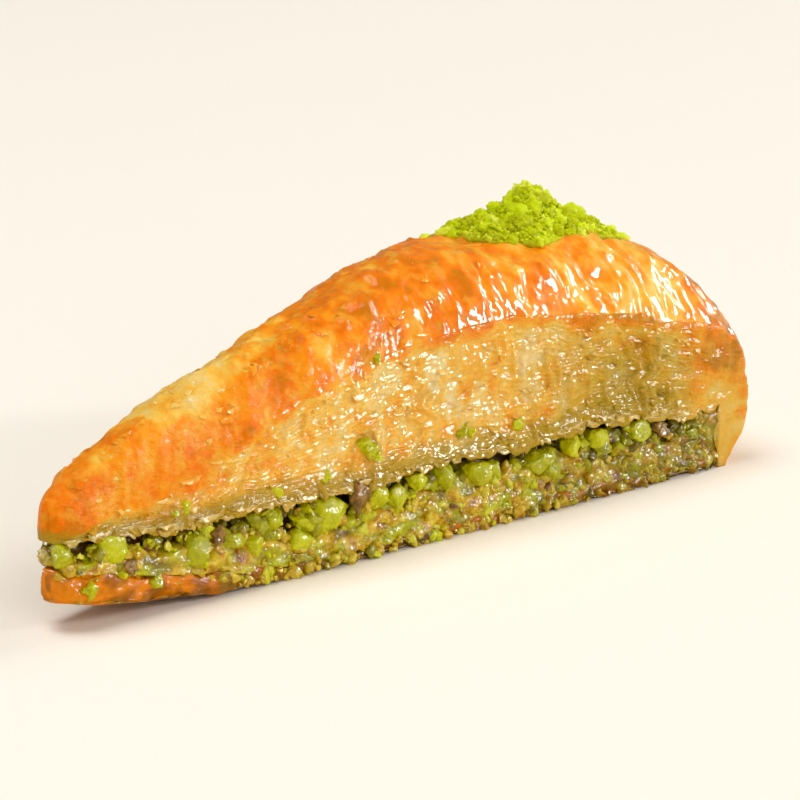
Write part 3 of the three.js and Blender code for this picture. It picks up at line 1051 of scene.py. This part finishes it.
def filling(material):
    """The filling's solid mash, set back from the cut faces, with bumps on them."""
    column, across, level, faces = box_shell(FILLING_STEPS)
    along = mix(NOSE_LENGTH / 2, WALL_INSIDE - 2 * GAP, column / FILLING_STEPS[0])
    recess = filling_recess(along, level, np.sign(across))
    set_back = 1 - np.minimum(0.55, recess / half_width(along))
    height = mix(bottom_top(along) - GAP, overhang_height(along) - GAP, level)
    points = place(along, across * nose_width(along) * set_back, height)
    x, y, _ = points.T
    bumps = 0.8 * fractal(x / 3.0, y / 3.0, height / 2.4, seed=90, octaves=4, fade=0.55)
    for side, _ in SIDES:
        points = points + (across == side)[:, None] * bumps[:, None] * outward(side)
    x, y, _ = points.T
    tint = 0.45 + 0.25 * fractal(x / 3, y / 3, height / 2, seed=92)
    skin = 0.4 * smooth(0.2, 0.8, fractal(x / 3, y / 3, height / 3, seed=94))
    mash = smooth(-0.5, 0.3, noise(along / 3, height / 2, seed=96))
    # The deep value is painted shade, darker in the pockets and towards the rim.
    values = {"tint": tint, "skin": skin, "mash": mash, "deep": painted_shade_of(along, recess)}
    core = make_piece("nut_mash", points, faces, material, values)
    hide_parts("pistachio_filling")


def painted_shade_of(along, recess):
    """Painted shade of the filling: darker in the pockets and towards the rim."""
    towards_rim = 0.4 * smooth(84, 140, along)
    # Painted shade: deeper pockets are darker, as shade falls there.
    pocket = 0.95 * smooth(1.2, 3.2, recess)
    return np.clip(np.maximum(pocket, towards_rim), 0, 0.95)


def face_spots(count, lowest):
    """Random places in the filling's band on a cut face: along, height and share of the band's height.

    A share below 0 lies on the bottom sheets, which stay bare at the tip.
    """
    along = rng.uniform(*NUT_RANGE, count)
    share = np.maximum(rng.uniform(lowest, HIGHEST_NUT, count), mix(0.04, lowest, smooth(22, 40, along)))
    return along, mix(bottom_top(along) + GAP, overhang_height(along) - GAP, share), share


def hollow_at(along, side):
    """1 where there is a hollow between the filling and the sheets above it."""
    return smooth(-0.12, 0.25, noise(along / 5.5, seed=126 + side)) * smooth(148, 140, along)


def face_point(along, height, side, inset):
    """Points at a cut face, set back by inset."""
    return place(along, side * nose_width(along), height) - inset[:, None] * outward(side)


def marked(marks, side):
    """Places, heights and sizes of the marked lumps, turned end to end on the far face."""
    along, height, sizes = np.array(marks).T
    return along if side < 0 else WALL_INSIDE - along, height, sizes


# Groups of chopped nuts: count, sizes, how far set back, lowest share of the band's height, form,
# tints, the share with skin, and the share with mash on them low in the band
NUT_GROUPS = [
    (110, (2.4, 4.2), (0.2, 1.6), -0.05, CHOPPED_NUT, (0.40, 0.9), 0.1, 0.5),
    (620, (1.4, 3.0), (0.0, 1.5), -0.25, SMALL_NUT, (0.30, 0.95), 0.18, 0.75),
    (800, (0.7, 1.5), (0.1, 1.3), -0.30, SMALL_NUT, (0.35, 1.0), 0.15, 0.85),
]
HERO_SKIN_SHARE = 0.1
HOLLOW_DEPTH = 2.8

# The shares of the nuts that are left at the tip and low in the band
TIP_NUTS = 0.4
LOW_NUTS = 0.8

# Loose crumbs: how many lie on the bottom sheets and at the rim, where, their sizes, and the share
# with skin
BASE_CRUMBS = 95
BASE_RANGE = (1, 148)
RIM_CRUMBS = 80
RIM_RANGE = (147, 152.9)
RIM_CRUMB_HEIGHT = 12
CRUMB_SIZES = (0.6, 1.7)
CRUMB_SKIN_SHARE = 0.15

# Green crumbs stuck to the near cut face and the bottom sheets: along, height and size in millimetres
STRAY_CRUMBS = [
    (66.9, 20.1, 3.0), (68.2, 18.6, 2.6), (65.2, 21.6, 2.0), (89.1, 19.5, 2.2), (91.0, 18.6, 1.6),
    (101.8, 18.0, 2.0), (68.8, 36.1, 1.8), (25.9, 17.8, 2.4), (23.6, 17.2, 1.6), (5.6, 7.2, 2.6),
    (12.3, 8.7, 2.0), (19.7, 6.2, 2.4), (57.0, 17.2, 2.2), (46.0, 16.6, 1.8),
]

# Lumps of the filling that still have their brown skin: along, height and size in millimetres
SKINNED_NUTS = [(64.4, 12.1, 4.4), (14.2, 9.8, 2.8), (33.0, 11.4, 2.4), (137.5, 10.6, 3.2)]


def nut_group(gathered, side, count, size_range, insets, lowest, form, tints, skin_share, mash_share):
    """Adds one group of chopped nuts at a cut face."""
    along, height, share = face_spots(count, lowest)
    left = mix(TIP_NUTS, 1, smooth(16, 42, along)) * mix(LOW_NUTS, 1, smooth(0, 0.4, share))
    keep = rng.random(count) < left
    along, height, share = along[keep], height[keep], share[keep]
    count = len(along)
    sizes = rng.uniform(*size_range, count)
    height = np.maximum(height, tip_lift(along) + 0.45 * sizes)
    inset = rng.uniform(*insets, count) + 0.25 * sizes
    inset = mix(0.1 * sizes, inset, smooth(-0.15, 0.1, share))
    inset = inset + HOLLOW_DEPTH * hollow_at(along, side) * smooth(0.6, 0.8, share)
    points, faces, skin = lumps(face_point(along, height, side, inset), sizes, form, skin_share)
    # Darker towards the rim: painted shade.
    tint = rng.uniform(*tints, count) - 0.2 * smooth(90, 140, along)
    mashed = rng.random(count) < mash_share * smooth(0.8, 0.3, share)
    mash = mashed * rng.uniform(0.5, 1, count)
    # Painted shade: nuts set further back and nearer the rim are darker.
    deep = 0.7 * painted_shade_of(along, inset)
    gathered.add(points, faces, {"tint": tint, "skin": skin, "mash": mash, "deep": deep})


def chopped_nuts(gathered, side):
    """Adds the large nuts and the groups of smaller ones."""
    along, height, sizes = marked(HERO_NUTS, side)
    height = np.clip(height, bottom_top(along) + 0.45 * sizes, overhang_height(along) - 0.4 * sizes)
    spots = face_point(along, height, side, 0.3 * sizes)
    points, faces, skin = lumps(spots, sizes, LARGE_NUT, HERO_SKIN_SHARE)
    tint = rng.uniform(0.48, 0.74, len(sizes))
    gathered.add(points, faces, {"tint": tint, "skin": skin, "mash": 0 * tint, "deep": 0 * tint})
    for group in NUT_GROUPS:
        nut_group(gathered, side, *group)


def loose_crumbs(gathered, side):
    """Adds crumbs on the bottom sheets and where the filling meets the rim."""
    along = np.concatenate([rng.uniform(*BASE_RANGE, BASE_CRUMBS), rng.uniform(*RIM_RANGE, RIM_CRUMBS)])
    count = len(along)
    high = np.where(along > RIM_RANGE[0], RIM_CRUMB_HEIGHT, bottom_top(along) + 1.2)
    height = mix(tip_lift(along) + 0.8, high, rng.random(count) ** mix(0.6, 1, smooth(40, 80, along)))
    sizes = rng.uniform(*CRUMB_SIZES, count)
    keep = rng.random(count) < mix(0.35, 1, smooth(30, 70, along))
    along, height, sizes = along[keep], np.maximum(height, 0.6 * sizes)[keep], sizes[keep]
    count = len(along)
    spots = face_point(along, height, side, 0.4 + 0.2 * sizes)
    points, faces, skin = lumps(spots, sizes, LOOSE_CRUMB, CRUMB_SKIN_SHARE)
    at_rim = smooth(144, 149, along)
    tint = rng.uniform(0.35, 0.95, count) - 0.05 * at_rim
    mashed = rng.random(count) < mix(0.6, 0.85, at_rim)
    mash = mashed * rng.uniform(0.6, 1, count)
    # Painted shade: darker towards the rim.
    deep = 0.5 * painted_shade_of(along, 0)
    gathered.add(points, faces, {"tint": tint, "skin": skin, "mash": mash, "deep": deep})


def stray_crumbs(gathered, side):
    """Adds loose crumbs, and the marked crumbs and nuts with skin."""
    loose_crumbs(gathered, side)
    for marks, skin_shown in ((STRAY_CRUMBS, 0.0), (SKINNED_NUTS, 0.85)):
        along, height, sizes = marked(marks, side)
        spots = face_point(along, height, side, 0.25 + 0 * along)
        points, faces, skin = lumps(spots, sizes, STUCK_CRUMB)
        tint = rng.uniform(0.55, 0.8, len(marks))
        values = {"tint": tint, "skin": skin + skin_shown, "mash": 0 * tint, "deep": 0 * tint}
        gathered.add(points, faces, values)


# Sheets below the filling

BOTTOM_STEPS = (460, 12, 20)
BOTTOM_LAYERS = 6
BOTTOM_START = 0.4


def sheet_relief(along, y, height, level, side):
    """Relief of the bottom sheets' cut edges, outwards, in millimetres."""
    layer = level * BOTTOM_LAYERS + 0.5 * noise(along / 10, seed=103 + side)
    groove = 0.12 * (1 - np.abs(2 * (layer - np.floor(layer)) - 1) ** 4)
    lumpy = fractal(along / 2.6, y / 2.4, height / 2.0, seed=110) * mix(0.8, 1, smooth(24, 60, along))
    rough = 0.5 * fractal(along / 4, height / 3, seed=106 + side, octaves=4)
    upper_round = mix(0.4, 0.0, smooth(30, 70, along)) * level ** 4
    return groove + rough + 0.35 * lumpy - 0.3 - upper_round - 0.4 * (1 - level) ** 4


def bottom_pastry(material):
    """The soaked sheets below the filling, lifted at the tip."""
    column, across, level, faces = box_shell(BOTTOM_STEPS)
    along = stations_to(WALL_INSIDE - 2 * GAP, BOTTOM_STEPS[0], BOTTOM_START)[column]
    side = np.sign(across)
    on_side = np.abs(across) == 1
    high = bottom_top(along) + 0.5 * noise(along / 3, seed=100 + side) * on_side
    height = mix(tip_lift(along), high, level)
    points = place(along, across * nose_width(along), height)
    shares = 0.5 * np.where(level == 0, smooth(9, 2, along), smooth(5, 1, along))
    points = relaxed(points, faces, shares)
    y = across * half_width(along)
    strength = np.where(on_side, mix(0.4, 1, smooth(0.4, 4, along)), 0.4 * (column == 0))
    points = pushed_out(points, faces, sheet_relief(along, y, height, level, side) * strength)
    stain = fractal(along / 6, y / 4, height / 3, seed=108)
    dark = 0.3 * smooth(2, 26, along) + 0.3 * smooth(36, 64, along) + 0.3 * (1 - level) + 0.55 * stain
    piece = make_piece("bottom_sheets", points, faces, material, {"dark": dark})
    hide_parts("bottom_pastry")


# Ground pistachio

MOUND_ALONG = 129.6
MOUND_ACROSS = 5.0
MOUND_LENGTH = 50.5
MOUND_WIDTH = 25.5
MOUND_SPREAD_HEIGHT = 2.4
MOUND_CREST_HEIGHT = 4.2
MOUND_CREST_REACH = 0.28
MOUND_SLOPE = 0.45
MOUND_STEPS = (240, 80)
MOUND_SINK = 0.9
MOUND_LEAST = 0.1

# Groups of loose ground nut on the heap: count, sizes, the share of its size that each is sunk, and form
GRAIN_GROUPS = (
    (220, (1.8, 4.0), 0.15, NUT_CLUMP),
    (1400, (0.5, 1.3), -0.2, NUT_GRAIN),
)


def mound_height(reach, angle):
    ripple = 0.14 * np.sin(3 * angle + 1) + 0.1 * np.sin(5 * angle)
    uneven = 1 + reach * (ripple - MOUND_SLOPE * np.cos(angle))
    spread = MOUND_SPREAD_HEIGHT * (1 - reach ** 3) * uneven
    return spread + MOUND_CREST_HEIGHT * bell(reach, MOUND_CREST_REACH)


def mound_spot(reach, angle):
    """Plan place of a spot in the mound, and the crust's height below it."""
    ragged = 1 + 0.07 * np.sin(5 * angle + 0.7) + 0.05 * np.sin(9 * angle)
    x = TIP_RADIUS + MOUND_ALONG + (MOUND_LENGTH / 2) * reach * ragged * np.cos(angle)
    y = MOUND_ACROSS + (MOUND_WIDTH / 2) * reach * ragged * np.sin(angle)
    along = np.hypot(x, y) - TIP_RADIUS
    across = np.arctan2(y, x) / HALF_ANGLE
    return x, y, dome_height(along, across)


def clump_relief(x, y):
    """Lumpy relief of ground nuts, in millimetres."""
    large = fractal(x / 3.0, y / 3.0, seed=120, octaves=2)
    return 0.9 * large + 0.6 * fractal(x / 1.1, y / 1.1, seed=123, octaves=2)


def heap_top(reach, angle):
    """Points of the heap's lumpy top."""
    x, y, ground = mound_spot(reach, angle)
    body = mound_height(reach, angle) + clump_relief(x, y) * mix(1, 0.5, reach) - 0.5
    return np.stack([x, y, ground + 0.2 + np.maximum(MOUND_LEAST, body)], -1)


def heap_underside(reach, angle):
    """Points of the heap's underside, sunk into the crust."""
    x, y, ground = mound_spot(reach, angle)
    return np.stack([x, y, ground - MOUND_SINK], -1)


def nut_heap(material):
    """The heap of ground pistachio on the crown, as a closed shell of rings round its middle."""
    around, rings = MOUND_STEPS
    step, ring = np.meshgrid(np.arange(around), np.arange(1, rings + 1))
    angle = 2 * math.pi * step / around
    reach = ring / rings
    points = np.concatenate([
        heap_top(reach, angle).reshape(-1, 3),
        heap_underside(reach, angle).reshape(-1, 3),
        heap_top(np.zeros(1), np.zeros(1)),
        heap_underside(np.zeros(1), np.zeros(1)),
    ])
    index = np.arange(rings * around).reshape(rings, around)
    index = np.concatenate([index, index[:, :1]], 1)
    base = index + rings * around
    rim = np.stack([index[-1, :-1], base[-1, :-1], base[-1, 1:], index[-1, 1:]], -1)
    quads = np.concatenate([grid_faces(index, False), grid_faces(base, True), rim])
    peak = np.full(around, 2 * rings * around)
    triangles = np.concatenate([
        quads[:, [0, 1, 2]],
        quads[:, [0, 2, 3]],
        np.stack([peak, index[0, :-1], index[0, 1:]], -1),
        np.stack([peak + 1, base[0, 1:], base[0, :-1]], -1),
    ])
    # Painted shade: lighter on the lumps, darker in the hollows between them.
    tint = 0.3 + 0.3 * clump_relief(points[:, 0], points[:, 1])
    core = make_piece("ground_nut_heap", points, triangles, material, {"tint": tint})
    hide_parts("ground_pistachio")


def nut_grains(material):
    """Clumps and grains that cover the heap."""
    gathered = Gathered()
    for count, size_range, sink, form in GRAIN_GROUPS:
        reach = np.sqrt(rng.random(count))
        angle = rng.uniform(0, 2 * math.pi, count)
        sizes = rng.uniform(*size_range, count) * mix(1, 0.6, reach)
        centres = heap_top(reach, angle)
        centres[:, 2] -= sink * sizes
        points, faces, _ = lumps(centres, sizes, form)
        gathered.add(points, faces, {"tint": rng.uniform(0.25, 0.9, count)})
    gathered.make("ground_nut_grains", material)


# Studio

FLOOR_REACH = 4.0
FLOOR_COLOUR = srgb(255, 248, 236)
SKY_COLOUR = srgb(252, 247, 238)
SKY_STRENGTH = 0.2
LIGHT_TARGET = Vector((0.0, 0.0, 0.02))
LIGHTS = (
    # name, place in metres, size in metres, power in watts, and whether it is only seen in reflections
    ("window", (2.30, -0.30, 0.93), 0.60, 22.0, False),
    ("glint", (1.40, -1.87, 0.90), 0.26, 14.0, False),
    ("fill", (-1.10, -1.90, 1.30), 1.60, 21.0, False),
    ("top", (-0.60, 0.30, 2.20), 1.20, 28.0, False),
    ("window_gloss", (2.30, -0.30, 0.93), 0.42, 25.0, True),
    ("near_panel", (1.10, -1.75, 0.85), 1.00, 130.0, True),
    ("far_panel", (-0.90, 1.90, 0.90), 0.90, 60.0, True),
)


def studio():
    """Plain pale floor, soft light and the sky's even light."""
    scene = bpy.context.scene
    scene.view_settings.view_transform = "Standard"
    floor_mesh = bpy.data.meshes.new("floor")
    corners = [(x * FLOOR_REACH, y * FLOOR_REACH, 0) for x, y in ((-1, -1), (1, -1), (1, 1), (-1, 1))]
    floor_mesh.from_pydata(corners, [], [(0, 1, 2, 3)])
    floor = bpy.data.objects.new("floor", floor_mesh)
    scene.collection.objects.link(floor)
    material, _, surface, _ = shader("floor_paper")
    surface.inputs["Base Color"].default_value = FLOOR_COLOUR
    surface.inputs["Roughness"].default_value = 0.9
    surface.inputs["Specular IOR Level"].default_value = 0.0
    floor_mesh.materials.append(material)

    world = bpy.data.worlds.new("studio")
    world.use_nodes = True
    background = world.node_tree.nodes["Background"]
    background.inputs["Color"].default_value = SKY_COLOUR
    background.inputs["Strength"].default_value = SKY_STRENGTH
    scene.world = world

    for name, position, size, power, only_gloss in LIGHTS:
        light = bpy.data.lights.new(name, "AREA")
        light.size = size
        light.energy = power
        lamp = bpy.data.objects.new(name, light)
        lamp.visible_diffuse = not only_gloss
        lamp.location = position
        lamp.rotation_euler = (LIGHT_TARGET - Vector(position)).to_track_quat("-Z", "Y").to_euler()
        scene.collection.objects.link(lamp)


# Camera at the photograph's viewing angle
VIEW_AZIMUTH = math.radians(-48)
VIEW_ELEVATION = math.radians(16)
VIEW_DISTANCE = 0.8
VIEW_TARGET = Vector((0.00781, 0.0, 0.02197))
LENS = 199.33
SENSOR_WIDTH = 36


def camera():
    data = bpy.data.cameras.new("camera")
    data.lens = LENS
    data.sensor_width = SENSOR_WIDTH
    data.clip_start = 0.01
    item = bpy.data.objects.new("camera", data)
    back = Vector((
        math.sin(VIEW_AZIMUTH) * math.cos(VIEW_ELEVATION),
        -math.cos(VIEW_AZIMUTH) * math.cos(VIEW_ELEVATION),
        math.sin(VIEW_ELEVATION),
    ))
    item.location = VIEW_TARGET + back * VIEW_DISTANCE
    item.rotation_euler = back.to_track_quat("Z", "Y").to_euler()
    bpy.context.scene.collection.objects.link(item)
    bpy.context.scene.camera = item


camera()
studio()
pastry = pastry_material("glazed_pastry", 0.4)
thin_pastry = pastry_material("thin_pastry", 0.0)
nuts = nut_material()
top_pastry(pastry)
at_both_faces(torn_sheets, "torn_sheets_", thin_pastry)
crust_flakes(thin_pastry)
filling(nuts)
at_both_faces(chopped_nuts, "chopped_nuts_", nuts)
at_both_faces(stray_crumbs, "stray_crumbs_", nuts)
bottom_pastry(syrup_pastry_material())
ground_nut = ground_nut_material()
nut_heap(ground_nut)
nut_grains(ground_nut)
